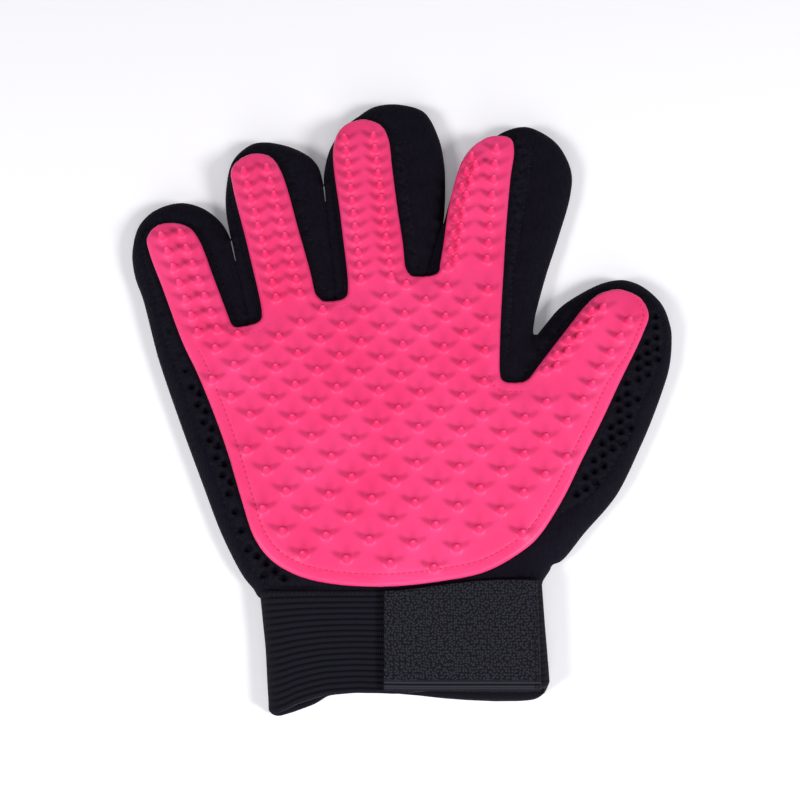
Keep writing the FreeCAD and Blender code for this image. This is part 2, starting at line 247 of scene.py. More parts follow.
def spaced(groups, gap):
    """All the groups' points, without any that crowd an earlier one."""
    kept, cells = [], {}
    for x, y in np.vstack(groups):
        i, j = int(x // gap), int(y // gap)
        near = [k for a in (i - 1, i, i + 1) for b in (j - 1, j, j + 1) for k in cells.get((a, b), ())]
        if all((x - kept[k][0]) ** 2 + (y - kept[k][1]) ** 2 >= gap * gap for k in near):
            cells.setdefault((i, j), []).append(len(kept))
            kept.append((x, y))
    return np.array(kept)


def hexagons(low, high, pitch, lean=0.0):
    """Staggered points over a rectangle, their rows turned by lean degrees."""
    reach = np.linalg.norm(np.array(high) - low) / 2 + pitch
    middle = (np.array(high) + low) / 2
    count = int(reach / pitch) + 1
    turn = math.radians(lean)
    spots = []
    for row in range(-int(count * 1.2), int(count * 1.2) + 1):
        for column in range(-count, count + 1):
            across, along = (column + 0.5 * (row % 2)) * pitch, row * pitch * 0.866
            spots.append((across * math.cos(turn) + along * math.sin(turn),
                          -across * math.sin(turn) + along * math.cos(turn)))
    spots = np.array(spots) + middle
    return spots[np.all((spots > low) & (spots < high), axis=1)]


def lay_out(outline, lines, loose, gap):
    """Triangles inside a closed outline through the loose points, with edges along outline and lines."""
    fixed = [outline] + lines
    points = spaced(fixed + loose, gap)
    edges, start = [], 0
    sure = np.vstack(fixed)
    for line in fixed:
        numbers = list(range(start, start + len(line)))
        edges += list(zip(numbers, numbers[1:] + (numbers[:1] if line is outline else [])))
        start += len(line)
    points = np.vstack([sure, points[nearest(points, sure)[0] > gap]])
    found = delaunay_2d_cdt([Vector(p) for p in points], edges, [], 0, 1e-7)
    spots, faces = np.array([tuple(v) for v in found[0]]), np.array(found[2])
    faces = faces[within(spots[faces].mean(axis=1), outline)]
    a, b, c = (spots[faces[:, k]] for k in range(3))
    backwards = (b[:, 0] - a[:, 0]) * (c[:, 1] - a[:, 1]) < (b[:, 1] - a[:, 1]) * (c[:, 0] - a[:, 0])
    faces[backwards] = faces[backwards][:, ::-1]
    return spots, faces


def knuckle_lines(reach):
    """A line across each finger where it begins to bend, a little past its sides."""
    return [np.array([to_glove(f, u, f["crease"]) for u in np.arange(-reach[name][0], reach[name][1], 1.1)])
            for name, f in FINGERS.items()]


def normals_of(points, faces):
    a, b, c = (points[faces[:, k]] for k in range(3))
    flat = np.cross(b - a, c - a)
    result = np.zeros_like(points)
    for k in range(3):
        np.add.at(result, faces[:, k], flat)
    return result / np.maximum(np.linalg.norm(result, axis=1), 1e-12)[:, None]


def make_piece(name, points, faces, material, normals=None, uv=None):
    """A smooth mesh object of the faces, in metres; points that no face uses are left out."""
    used = np.unique([k for face in faces for k in face])
    number = {old: new for new, old in enumerate(used)}
    mesh = bpy.data.meshes.new(name)
    mesh.from_pydata((points[used] / 1000).tolist(), [], [[number[k] for k in face] for face in faces])
    mesh.polygons.foreach_set("use_smooth", [True] * len(mesh.polygons))
    if uv is not None:
        layer = mesh.uv_layers.new(name="UVMap")
        corners = np.zeros(len(mesh.loops), int)
        mesh.loops.foreach_get("vertex_index", corners)
        layer.data.foreach_set("uv", uv[used][corners].ravel())
    mesh.materials.append(material)
    if normals is not None:
        mesh.normals_split_custom_set_from_vertices(normals[used].tolist())
    piece = bpy.data.objects.new(name, mesh)
    scene.collection.objects.link(piece)
    return piece


def ride_or_bend(piece, name):
    """Keeps the hand's piece on the hand; a finger's piece stays where it is, with its transform applied."""
    if name == "hand":
        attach(piece, "hand")
        return
    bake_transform(piece)


pad_points = []
for name, f in FINGERS.items():
    pad_points += [to_glove(f, *spot) for spot in f["strip"]] + f["fork"]
pad_fine = curve_through(pad_points + HEEL, closed=True)
pad_line = evenly(pad_fine, 0.8, closed=True)
pad_in = inward(pad_line)


def pin_spots():
    """Where the pins stand: two columns on each finger, and the palm's staggered rows. On the index
    finger and thumb the column next to the fork is a zigzag that follows the rim."""
    spots, zigzag = [], []
    for f in FINGERS.values():
        rule = f["pins"]
        for side, across in enumerate(rule["across"]):
            if side == 0 and "hug" in rule:
                continue
            for row in range(rule["rows"]):
                along = rule["first"] + row * rule["pitch"] + side * rule["stagger"]
                spots.append(to_glove(f, across, along))
        if "hug" in rule:
            rim = [spot for spot in f["strip"] if spot[0] < 0]
            for row, along in enumerate(np.arange(*rule["hug"], rule["pitch"] / 2)):
                across = np.interp(along, *np.array(rim)[:, ::-1].T) + HUG_INSET[row % 2]
                spot = to_glove(f, across, along)
                if np.linalg.norm(np.array(spots) - spot, axis=1).min() > HUG_APART:
                    zigzag.append(spot)
    columns = np.array(spots + zigzag)
    for row in range(-6, 11):
        for column in range(-5, 7):
            step = column + 0.5 * (row % 2)
            x = PALM_FIRST[0] - 0.36 * row + PIN_STEP * step
            y = PALM_FIRST[1] - PIN_ROW * row - 0.075 * max(row, 0) ** 2 - (1.05 + 0.05 * max(row, 0)) * step
            across, along = to_finger(FINGERS["thumb"], np.array([(x, y)]))[0]
            on_thumb = across > PALM_END[0] and along > PALM_END[1]
            if np.linalg.norm(columns - (x, y), axis=1).min() > PIN_APART and not on_thumb:
                spots.append((x, y))
    spots = np.array(spots)
    spots = spots[within(spots, pad_line)]
    return np.vstack([spots[nearest(spots, pad_fine)[0] > PIN_EDGE], zigzag])


pins = pin_spots()


def pins_height(points):
    """Pins and their fillets; fillets that meet run together."""
    away = np.linalg.norm(points[:, None, :] - pins[None, :, :], axis=2)
    radius, height = np.array(PIN_SHAPE, float).T
    each = np.interp(away, radius, height)
    return (each ** 3).sum(axis=1) ** (1 / 3)


def pad_rise(points):
    """The pad's height without pins: rounded rim, and a low crown."""
    d = nearest(points, pad_fine)[0]
    edge = RIM_ROUND - np.minimum(d, RIM_ROUND)
    return PAD_TOP - RIM_ROUND + np.sqrt(RIM_ROUND ** 2 - edge ** 2) + CROWN * (1 - np.exp(-d / CROWN_REACH))


along_strip = np.max([to_finger(f, pad_line)[:, 1] for f in FINGERS.values()], axis=0)
pad_inset = STITCH_PALM + (STITCH_STRIP - STITCH_PALM) * np.clip((along_strip + 4) / 14, 0, 1)
stitch_line = evenly(pad_line + pad_in * pad_inset[:, None], 0.8, closed=True)


def palm_share(points):
    """1 on the palm and the thumb's outer side, where stitches and holes are deep, to 0 on the fingers."""
    along = np.max([to_finger(f, points)[:, 1] for name, f in FINGERS.items() if name != "thumb"], axis=0)
    across_thumb, along_thumb = to_finger(FINGERS["thumb"], points).T
    return np.where(along_thumb > -22, across_thumb > 2, 1 - np.clip((along + 12) / 8, 0, 1))


def clear_of_rim(points, least):
    points = points[within(points, pad_line)]
    return points[nearest(points, pad_fine)[0] > least]


rim_rings = [clear_of_rim(pad_line + pad_in * step, step * 0.85) for step in (0.14, 0.4, 0.8, 1.3)]
stitch_rings = [stitch_line, stitch_line + inward(stitch_line) * 0.7, stitch_line - inward(stitch_line) * 0.7]
pin_rings = [pins]
for radius, count in PIN_RINGS:
    for k in range(count):
        turn = 2 * math.pi * (k + 0.5 * (count % 3)) / count
        ring = pins + radius * np.array([math.cos(turn), math.sin(turn)])
        own = np.linalg.norm(ring[:, None, :] - pins[None, :, :], axis=2).min(axis=1) > radius - 0.05
        pin_rings.append(ring[own])
pin_rings = [clear_of_rim(np.vstack(pin_rings), 1.2)]
box_low, box_high = pad_line.min(axis=0), pad_line.max(axis=0)
lattice = clear_of_rim(hexagons(box_low, box_high, 1.7), 1.9)
strip_reach = {name: (14.5, 14.5) if name != "thumb" else (16.5, 17.5) for name in FINGERS}
pad_spots, pad_faces = lay_out(pad_line, knuckle_lines(strip_reach),
                               rim_rings + pin_rings + stitch_rings + [lattice], 0.3)
groove = (0.1 + 0.2 * palm_share(pad_spots)) * np.exp(-(nearest(pad_spots, stitch_line)[0] / 0.5) ** 2)
pad_high = pad_rise(pad_spots) + pins_height(pad_spots) - groove
pad_mesh = np.column_stack([pad_spots, pad_high])


def finger_faces(spots, faces, wide):
    """The numbers of the faces on each finger, and of the rest, which are the hand's."""
    centres = spots[faces].mean(axis=1)
    left = np.ones(len(faces), bool)
    shares = {}
    for name, f in FINGERS.items():
        across, along = to_finger(f, centres).T
        low, high = wide[name]
        mine = left & (along > f["crease"]) & (across > -low) & (across < high)
        left &= ~mine
        shares[name] = np.flatnonzero(mine)
    shares["hand"] = np.flatnonzero(left)
    return shares


def add_texture(material, kind, place, settings):
    texture = material.node_tree.nodes.new("ShaderNodeTex" + kind)
    for socket, value in settings.items():
        texture.inputs[socket].default_value = value
    material.node_tree.links.new(place, texture.inputs["Vector"])
    return texture


def colour_by(material, pattern, low, low_colour, high, high_colour):
    """Colours the material from one colour to another as the pattern goes from low to high."""
    ramp = material.node_tree.nodes.new("ShaderNodeValToRGB")
    for stop, spot, colour in zip(ramp.color_ramp.elements, (low, high), (low_colour, high_colour)):
        stop.position = spot
        stop.color = (*colour, 1)
    shader = material.node_tree.nodes["Principled BSDF"]
    material.node_tree.links.new(pattern, ramp.inputs["Fac"])
    material.node_tree.links.new(ramp.outputs["Color"], shader.inputs["Base Color"])


def emboss(material, pattern, distance, strength):
    """Raises the pattern a little out of the material's surface."""
    bump = material.node_tree.nodes.new("ShaderNodeBump")
    bump.inputs["Distance"].default_value = distance
    bump.inputs["Strength"].default_value = strength
    shader = material.node_tree.nodes["Principled BSDF"]
    material.node_tree.links.new(pattern, bump.inputs["Height"])
    material.node_tree.links.new(bump.outputs["Normal"], shader.inputs["Normal"])


silicone = make_material("pink_silicone", {
    "Roughness": 0.44, "Specular IOR Level": 0.36, "Subsurface Weight": 0.1,
    "Subsurface Radius": (1.0, 0.25, 0.4), "Subsurface Scale": 0.0015})
place = silicone.node_tree.nodes.new("ShaderNodeTexCoord").outputs["Object"]
cloudy = add_texture(silicone, "Noise", place, {"Scale": 45, "Detail": 3})
colour_by(silicone, cloudy.outputs["Fac"], 0.3, (0.94, 0.045, 0.19), 0.72, (1.0, 0.066, 0.245))
grain = add_texture(silicone, "Noise", place, {"Scale": 2600})
emboss(silicone, grain.outputs["Fac"], 0.0001, 0.12)

# The rim's wall goes down to the sewn underside, tucked in a little at the foot.
pad_normals = normals_of(pad_mesh, pad_faces)
sides = {}
for face in pad_faces:
    for a, b in ((face[0], face[1]), (face[1], face[2]), (face[2], face[0])):
        sides[tuple(sorted((a, b)))] = sides.get(tuple(sorted((a, b))), 0) + 1
rim_numbers = np.unique([k for pair, count in sides.items() if count == 1 for k in pair])
rim_in = pad_in[nearest(pad_spots[rim_numbers], pad_line)[1]]
pad_normals[rim_numbers] = np.column_stack([-rim_in, np.full(len(rim_numbers), 0.35)])
foot = {old: new for new, old in enumerate(rim_numbers, start=len(pad_mesh))}
foot_points = np.column_stack([pad_spots[rim_numbers] + 0.3 * rim_in, np.full(len(rim_numbers), PAD_LOW)])
foot_normals = np.column_stack([-rim_in, np.full(len(rim_numbers), -0.6)])
under_spots, under_faces = lay_out(evenly(pad_fine, 2.0, True) + 0.3 * inward(evenly(pad_fine, 2.0, True)),
                                   knuckle_lines(strip_reach), [hexagons(box_low, box_high, 9.0)], 0.3)
under = np.column_stack([under_spots, np.full(len(under_spots), PAD_LOW)])
pad_all = np.vstack([pad_mesh, foot_points, under])
pad_all_normals = np.vstack([pad_normals, foot_normals, np.tile((0.0, 0.0, -1.0), (len(under), 1))])
under_first = len(pad_mesh) + len(foot_points)
pad_shares = finger_faces(pad_spots, pad_faces, strip_reach)
under_shares = finger_faces(under_spots, under_faces, strip_reach)
for name, numbers in pad_shares.items():
    faces = [list(face) for face in pad_faces[numbers]]
    wall = []
    for face in faces:
        for a, b in ((face[0], face[1]), (face[1], face[2]), (face[2], face[0])):
            if sides[tuple(sorted((a, b)))] == 1:
                wall.append([b, a, foot[a], foot[b]])
    below = [[k + under_first for k in face[::-1]] for face in under_faces[under_shares[name]]]
    pad = make_piece("pad_" + name, pad_all, faces + wall + below, silicone, pad_all_normals)
    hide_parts("brush_pad_palm" if name == "hand" else "brush_strip_" + name)
    ride_or_bend(pad, name)

# ---- Stitches round the pad ----
# One row of dark pink thread sews the pad to the mesh under it, about 2 mm a stitch, closer to the
# rim on the fingers than on the palm. Each stitch is a short rounded bar, sunk in its groove.
STITCH_PITCH = 2.05
STITCH_LONG = 1.2
STITCH_R = 0.2

pink_thread = make_material("dark_pink_thread", {"Roughness": 0.7})
place = pink_thread.node_tree.nodes.new("ShaderNodeTexCoord").outputs["Object"]
worn = add_texture(pink_thread, "Noise", place, {"Scale": 900})
colour_by(pink_thread, worn.outputs["Fac"], 0, (0.62, 0.022, 0.105), 1, (0.9, 0.045, 0.175))


def stitch_bars(centres, along, high, long, radius):
    """Rounded bars: points and faces for one at each centre, lying along its direction."""
    spread = ((-0.5, 0.35, -0.2), (-0.38, 1.0, 0.0), (0.0, 1.1, 0.12), (0.38, 1.0, 0.0), (0.5, 0.35, -0.2))
    points, faces = [], []
    for (x, y), (dx, dy), z in zip(centres, along, high):
        first = len(points)
        for far, thick, lift in spread:
            for k in range(6):
                turn = math.pi * k / 3
                side, up = radius * thick * math.cos(turn), radius * (thick * math.sin(turn) + lift)
                points.append((x + dx * far * long - dy * side, y + dy * far * long + dx * side, z + up))
        for ring in range(4):
            for k in range(6):
                a, b = first + ring * 6 + k, first + ring * 6 + (k + 1) % 6
                faces.append([a, a + 6, b + 6, b])
        faces += [[first + k for k in range(6)], [first + 24 + k for k in range(5, -1, -1)]]
    return np.array(points), faces


stitches = evenly(stitch_line, STITCH_PITCH, closed=True)
stitches = stitches[np.linalg.norm(stitches[:, None, :] - pins[None, :, :], axis=2).min(axis=1) > 1.7]
stitch_in = inward(stitch_line)[nearest(stitches, stitch_line)[1]]
stitch_way = np.column_stack([-stitch_in[:, 1], stitch_in[:, 0]])
stitch_high = pad_rise(stitches) + pins_height(stitches) - 0.3 + 0.1 * palm_share(stitches)
stitch_share = {name: np.array([False] * len(stitches)) for name in FINGERS}
for name, f in FINGERS.items():
    across, along = to_finger(f, stitches).T
    low, high = strip_reach[name]
    stitch_share[name] = (along > f["crease"]) & (across > -low) & (across < high)
stitch_share["hand"] = ~np.any(list(stitch_share.values()), axis=0)
for name, mine in stitch_share.items():
    points, faces = stitch_bars(stitches[mine], stitch_way[mine], stitch_high[mine], STITCH_LONG, STITCH_R)
    thread = make_piece("pad_stitches_" + name, points, faces, pink_thread)
    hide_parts("pad_thread_palm" if name == "hand" else "strip_thread_" + name)
    ride_or_bend(thread, name)

# ---- Black fabric: palm side mesh, knit sides and back mesh ----
# The glove's body is sewn from black air mesh, front and back, joined by a band of smooth ribbed
# knit round the hand and every finger. The band bulges out past the pad and curls under to the
# back. Mesh shows beside the pad, with its small round holes, up to the seam with the knit.
KNIT_EDGE = 4.2      # height of the widest line of the band
FRONT_TOP = 10.5     # mesh under the pad's rim
BACK_LOW = 0.35
BULGE = 7.5          # how far in from its edge the band reaches its full height
UNDER_CURL = 4.5
KNIT_UNDER = 2.8     # how far the knit comes in under the glove
HOLE_PITCH = 4.1
HOLE_R = 1.6
HOLE_DEEP = 2.0
HOLE_CLEAR = 1.6     # holes keep this far from the seam and the pad

# Fabric outline of each finger, in its own axes, and the seam between its front mesh and the knit.
# Neighbouring fingers touch along a crease, from the pad's fork to where they part.
FABRIC = {
    "little": {
        "edge": [(-19.6, 1), (-18.7, 11.9), (-17.5, 25.7), (-17.4, 36), (-15.4, 45.5), (-10.6, 54),
                 (-5, 58), (2, 59.5), (9.2, 58.4), (16.4, 52.9), (20.4, 45.3)],
        "seam": [(-14.6, 1), (-14.2, 12), (-12.7, 26), (-11.6, 40), (-10, 47), (-4.6, 51.2), (3.4, 50.2),
                 (9.6, 46), (12, 39), (12.2, 22), (12.2, 2)],
    },
    "ring": {
        "edge": [(-15.8, -8.5), (-15.8, -7.0), (-15.5, 3), (-15.1, 20), (-14.8, 36), (-14.0, 49),
                 (-11.7, 58.7), (-7.8, 67.6), (-2.1, 72.3), (2.9, 73.9), (9, 72.8), (18.5, 67.3),
                 (24.5, 59.8)],
        "seam": [(-11.6, 0), (-11.2, 28), (-10.4, 57), (-9.4, 62), (-5.4, 66.3), (2.4, 67.7), (9.4, 65),
                 (13.4, 57), (14.2, 30), (14.2, 2)],
    },
    "middle": {
        "edge": [(-16.1, -10.5), (-16.1, -9.0), (-15.9, 3), (-15.9, 20), (-15.9, 33), (-15.9, 46.5),
                 (-15, 53), (-11.4, 63.1), (-4.9, 70.9), (0.8, 74.8), (6.4, 78), (13.1, 78.8), (21.6, 77),
                 (27.5, 73), (31.1, 61.9), (31.8, 50.2), (30.8, 39.3), (29.4, 30.4)],
        "seam": [(-12.2, 0), (-12.1, 28), (-11.9, 57), (-8.9, 66.2), (-3.3, 70.3), (3.8, 71), (10.6, 68),
                 (14.8, 61), (15.6, 31), (14.6, 2.5)],
    },
    "index": {
        "edge": [(-18.0, -7.5), (-17.8, -6.0), (-16.6, 2), (-14.4, 14), (-12.5, 24), (-11.1, 33),
                 (-8.5, 47.3), (-5.2, 54.4), (-0.6, 59.5), (3.7, 63), (8.7, 66.6), (16.2, 69.1),
                 (24.5, 66.4), (31.3, 60.3), (35.4, 51.1), (35.5, 41.3), (32, 23.2), (28.1, 6.3),
                 (25.3, -8.9)],
        "seam": [(-13.6, 2), (-11.2, 28), (-8, 47), (-4.8, 53.6), (0.2, 58.9), (8, 63.2), (14.6, 63.6),
                 (18.2, 58), (18.4, 44), (16.6, 22), (14.9, 0)],
    },
    "thumb": {
        "edge": [(-22.3, 2.8), (-21.5, 7.7), (-20, 17.3), (-16.6, 25.5), (-11, 34.3), (-4.6, 39.6),
                 (3, 40.8), (12.7, 38), (19.3, 32), (22.5, 26.6), (26.3, 17.1), (28.7, 5.1), (30.4, -7)],
        "seam": [(-17.4, -3), (-15, 8), (-12.2, 22), (-9.2, 29.4), (-4, 33.6), (5.4, 34.4), (13, 32.2),
                 (18.4, 26), (21.8, 16), (23.2, 4), (23.8, -6)],
    },
}
TOUCHING = {"ring": 5, "middle": 6, "index": 5}   # how many first points lie against the finger before
PARTING = 0.12
FABRIC_FORK = [(50.6, 26), (49.9, 19.4)]     # between index finger and thumb, down to the fork
SEAM_FORK = [(41.6, 34), (40.0, 16), (38.8, 3.5), (40.4, 0.4), (44.6, 1.2)]
HAND_EDGE = [(87.2, -23.9), (77.3, -42.4), (65.3, -56.1), (56.8, -66.0), (53.4, -67.6), (52.6, -69.3),
             (49.8, -73.7), (49.0, -79.4), (25, -80), (0, -80), (-25, -80), (-48.1, -79.4),
             (-51.0, -75.9), (-54.8, -71.3), (-62.7, -56.9), (-70.9, -37.3), (-79.4, -16.4)]
HAND_SEAM = [(83.7, -18.7), (79.3, -26.6), (74.7, -33.6), (69.6, -40.3), (62.6, -46.6), (55.6, -50.6),
             (44.0, -60.0), (33.0, -68.0), (14, -72.6), (-7.4, -75.0), (-30, -75.6), (-46, -74.4),
             (-51.4, -68.4), (-58.2, -54.6), (-65.8, -35.3), (-74.3, -14.7)]

edge_points, seam_points, finger_edges, creases = [], [], {}, []
for name, after in zip(FINGERS, list(FINGERS)[1:] + [""]):
    f = FINGERS[name]
    own = [to_glove(f, *spot) for spot in FABRIC[name]["edge"]]
    if after in TOUCHING:
        shared = FABRIC[after]["edge"][TOUCHING[after] - 1::-1]
        own += [to_glove(FINGERS[after], across - PARTING, along) for across, along in shared]
        creases.append([to_glove(FINGERS[after], *spot) for spot in shared])
    finger_edges[name] = own
    edge_points += own
    seam_points += [to_glove(f, *spot) for spot in FABRIC[name]["seam"]]
    if name == "index":
        edge_points += FABRIC_FORK
        seam_points += SEAM_FORK
    elif name != "thumb":
        across, along = f["strip"][-1]
        seam_points += [to_glove(f, across + 3.0, along - 1.0)]
edge_fine = curve_through(edge_points + HAND_EDGE, closed=True)
edge_line = evenly(edge_fine, 0.9, closed=True)
edge_in = inward(edge_line)
seam_line = evenly(curve_through(seam_points + HAND_SEAM, closed=True), 0.9, closed=True)
edge_low, edge_high = edge_line.min(axis=0), edge_line.max(axis=0)
crease_line = np.vstack([evenly(np.array(crease), 1.0, closed=False) for crease in creases])
crease_rise = np.concatenate([np.minimum(1, 0.5 * np.arange(len(evenly(np.array(crease), 1.0, closed=False))))
                              for crease in creases])


def edge_height(points):
    """Height of the band's widest line: raised where neighbouring fingers press together."""
    d, number = nearest(points, crease_line)
    return KNIT_EDGE + 4.2 * crease_rise[number] * np.exp(-(d / 6.0) ** 2)


def wrist_share(points):
    """1 along the wrist, where front and back part to let the hand in, and 0 elsewhere."""
    x, y = points.T
    share = np.clip((-68 - y) / 8, 0, 1) * np.clip((47 - np.abs(x - 0.7)) / 7, 0, 1)
    return share * share * (3 - 2 * share)


def folds(points):
    """Shallow creases and sags of cloth that has nothing in it."""
    x, y = points.T
    return (0.30 * np.sin(0.31 * x + 0.11 * y + 1.3) * np.sin(0.07 * x - 0.19 * y)
            + 0.16 * np.sin(0.53 * y - 0.22 * x + 0.4) + 0.1 * np.sin(0.9 * x + 0.35 * y))


def quarter_round(d, reach):
    """From 0 at the edge to 1 at reach, starting upright."""
    rest = 1 - np.clip(d / reach, 0, 1)
    return np.sqrt(1 - rest ** 2)


def front_height(points, holes):
    d = nearest(points, edge_fine)[0]
    low = edge_height(points)
    low += (FRONT_TOP - 0.6 - low) * wrist_share(points)
    from_pad = nearest(points, pad_line)[0] * ~within(points, pad_line)
    full = FRONT_TOP - 0.075 * from_pad + np.minimum(from_pad / 6, 1) * folds(points)
    z = low + (full - low) * quarter_round(d, BULGE)
    z -= 0.75 * np.exp(-(nearest(points, seam_line)[0] / 0.8) ** 2) * np.minimum(from_pad / 2, 1)
    hole = np.clip(nearest(points, holes)[0] / HOLE_R, 0, 1)
    return z - HOLE_DEEP * (0.3 + 0.7 * palm_share(points)) * (1 - hole ** 6)


def back_height(points, holes):
    d = nearest(points, edge_fine)[0]
    low = edge_height(points)
    low += (BACK_LOW - low) * wrist_share(points)
    z = low + (BACK_LOW - low) * quarter_round(d, UNDER_CURL)
    hole = np.clip(nearest(points, holes)[0] / HOLE_R, 0, 1)
    return z + 0.6 * HOLE_DEEP * (1 - hole ** 6) * (d > UNDER_CURL)


def hole_spots(allowed):
    """Staggered holes; their rows follow each finger, and lean with the sides of the hand."""
    spots = []
    for name, f in FINGERS.items():
        low, high = fabric_reach[name]
        grid = hexagons(np.array((-low, f["crease"] + 1.2)), np.array((high, 85.0)), HOLE_PITCH)
        spots.append(np.array([to_glove(f, *spot) for spot in grid]))
    for lean, side in ((-21.0, -1), (28.0, 1)):
        grid = hexagons(edge_low, edge_high, HOLE_PITCH, lean)
        grid = grid[grid[:, 0] * side > 1.2]
        for f in FINGERS.values():
            grid = grid[to_finger(f, grid)[:, 1] < f["crease"] - 1.2]
        spots.append(grid)
    spots = np.vstack(spots)
    spots = spots[within(spots, edge_line)]
    return spots[allowed(spots)]


def hole_rings(holes):
    rings = [holes]
    for radius, count in ((1.15, 9), (HOLE_R, 12)):
        for k in range(count):
            turn = 2 * math.pi * k / count
            rings.append(holes + radius * np.array([math.cos(turn), math.sin(turn)]))
    return rings


fabric_reach = {"little": (22, 23), "ring": (17.5, 26), "middle": (18.5, 34), "index": (19, 38),
                "thumb": (24, 32)}
finger_ends = {name: nearest(np.array([own[0], own[-1]]), edge_fine)[1] for name, own in finger_edges.items()}
finger_bounds = {name: edge_fine[first:last + 1] for name, (first, last) in finger_ends.items()}


def front_holes_allowed(spots):
    beside = nearest(spots, pad_line)[0]
    clear = (beside > HOLE_CLEAR) & ~within(spots, pad_line)
    return clear & within(spots, seam_line) & (nearest(spots, seam_line)[0] > HOLE_CLEAR - 0.3)


def back_holes_allowed(spots):
    return nearest(spots, edge_line)[0] > UNDER_CURL + 1.0


def rings_inside(steps):
    rings = []
    for step in steps:
        ring = edge_line + edge_in * step
        rings.append(ring[(nearest(ring, edge_fine)[0] > step * 0.9) & within(ring, edge_line)])
    return rings


knuckle_reach = {"little": (20.5, 15.4), "ring": (15.8, 16.9), "middle": (16.3, 17.4), "index": (17.2, 29),
                 "thumb": (23.5, 31.5)}
front_holes = hole_spots(front_holes_allowed)
back_holes = hole_spots(back_holes_allowed)
under_pad = hexagons(edge_low, edge_high, 7.0)
under_pad = under_pad[within(under_pad, pad_line)]
beside_pad = hexagons(edge_low, edge_high, 2.2)
beside_pad = beside_pad[within(beside_pad, edge_line)]
beside_pad = beside_pad[(nearest(beside_pad, pad_line)[0] < 3.5) | ~within(beside_pad, pad_line)]
beside_pad = beside_pad[nearest(beside_pad, edge_fine)[0] > 1.2]
seam_rings = [seam_line + inward(seam_line) * step for step in (0.8, -0.8)]
seam_rings = [ring[(nearest(ring, edge_fine)[0] > 0.4) & within(ring, edge_line)] for ring in seam_rings]
front_spots, front_faces = lay_out(
    edge_line, knuckle_lines(knuckle_reach),
    [seam_line[nearest(seam_line, edge_fine)[0] > 0.4]] + hole_rings(front_holes)
    + rings_inside((0.2, 0.7, 1.5, 2.6, 4.2, 6.2)) + seam_rings + [beside_pad, under_pad], 0.38)
back_spots, back_faces = lay_out(
    edge_line, knuckle_lines(knuckle_reach),
    rings_inside((0.2, 0.7, 1.6, KNIT_UNDER, 4.4)) + hole_rings(back_holes)
    + [hexagons(edge_low, edge_high, 6.0)], 0.38)


def pressed(spots):
    """The same spots, with the touching sides of neighbouring fingers pushed against each other."""
    d, number = nearest(spots, crease_line)
    push = PARTING * crease_rise[number] * np.exp(-(d / 0.8) ** 2)
    return spots - edge_in[nearest(spots, edge_line)[1]] * push[:, None]


front_points = np.column_stack([pressed(front_spots), front_height(front_spots, front_holes)])
back_points = np.column_stack([pressed(back_spots), back_height(back_spots, back_holes)])


def fabric_shares(spots, faces):
    """The numbers of each finger's faces, and of the hand's."""
    centres = spots[faces].mean(axis=1)
    shares, left = {}, np.ones(len(faces), bool)
    for name, f in FINGERS.items():
        mine = left & within(centres, finger_bounds[name]) & (to_finger(f, centres)[:, 1] > f["crease"])
        left &= ~mine
        shares[name] = mine
    shares["hand"] = left
    return shares


def cloth_uv(spots, name):
    """Where the yarns lie, in centimetres: along the finger, or up the hand."""
    return (spots if name == "hand" else to_finger(FINGERS[name], spots)) / 10


def black_cloth(name, rough=0.85, sheen=0.0):
    """A dull black fabric, and the places in its weave that its patterns follow."""
    cloth = make_material(name, {"Roughness": rough, "Specular IOR Level": 0.12, "Sheen Weight": sheen,
                                 "Sheen Roughness": 0.5, "Sheen Tint": (0.5, 0.55, 0.75, 1)})
    return cloth, cloth.node_tree.nodes.new("ShaderNodeUVMap").outputs["UV"]


def mottle(cloth, place, dark, light):
    """Two close blacks in a fine mottle, as dyed yarn has."""
    clouds = add_texture(cloth, "Noise", place, {"Scale": 6, "Detail": 6})
    colour_by(cloth, clouds.outputs["Fac"], 0.35, dark, 0.7, light)


knit, place = black_cloth("black_rib_knit")
mottle(knit, place, (0.0028, 0.0018, 0.006), (0.0055, 0.0042, 0.011))
ribs = add_texture(knit, "Wave", place, {"Scale": 3.3, "Distortion": 0.6, "Detail": 2, "Detail Scale": 3})
ribs.bands_direction = "X"
emboss(knit, ribs.outputs["Fac"], 0.0003, 0.6)

air_mesh, place = black_cloth("black_air_mesh")
mottle(air_mesh, place, (0.003, 0.0022, 0.006), (0.0065, 0.0052, 0.012))
yarns = add_texture(air_mesh, "Voronoi", place, {"Scale": 11})
yarns.voronoi_dimensions = "2D"
emboss(air_mesh, yarns.outputs["Distance"], 0.0003, 0.7)

back_faces = back_faces[:, ::-1]
front_normals = normals_of(front_points, front_faces)
back_normals = normals_of(back_points, back_faces)
for spots, normals in ((front_spots, front_normals), (back_spots, back_normals)):
    d, near = nearest(spots, edge_line)
    on_edge = (nearest(spots, edge_fine)[0] < 0.06) & (wrist_share(spots) < 0.05)
    normals[on_edge] = np.column_stack([-edge_in[near[on_edge]], np.zeros(on_edge.sum())])
cloth_points = np.vstack([front_points, back_points])
cloth_normals = np.vstack([front_normals, back_normals])
front_is_mesh = within(front_spots[front_faces].mean(axis=1), seam_line)
back_is_knit = nearest(back_spots[back_faces].mean(axis=1), edge_fine)[0] < KNIT_UNDER
front_shares, back_shares = fabric_shares(front_spots, front_faces), fabric_shares(back_spots, back_faces)
